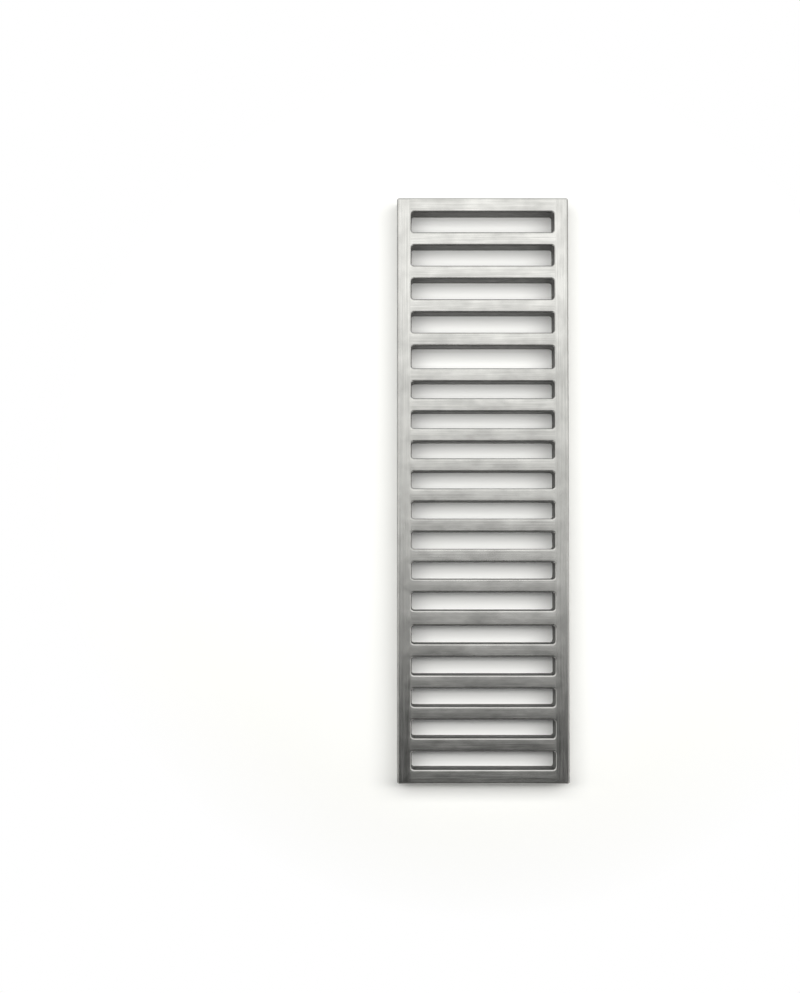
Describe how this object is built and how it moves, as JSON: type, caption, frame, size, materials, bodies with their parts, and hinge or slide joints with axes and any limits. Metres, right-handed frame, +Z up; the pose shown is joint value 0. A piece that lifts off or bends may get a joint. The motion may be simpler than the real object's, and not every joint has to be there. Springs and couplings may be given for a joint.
{
  "type": "gutter grate",
  "caption": "Flat rectangular drain grate of brushed stainless steel, one solid plate with a row of straight cross slots between two side rails.",
  "frame": {"origin": "middle of the underside, on the surface that the grate lies on", "axes": "+X across the grate, +Y along it towards the end with the wider slots, +Z up out of the walking face"},
  "size_m": [0.1466, 0.5, 0.025],
  "materials": {
    "brushed_stainless": "brushed along the side rails and across the bars, with fine bright edges"
  },
  "bodies": {
    "root": {"grate": "brushed_stainless"}
  },
  "joints": []
}
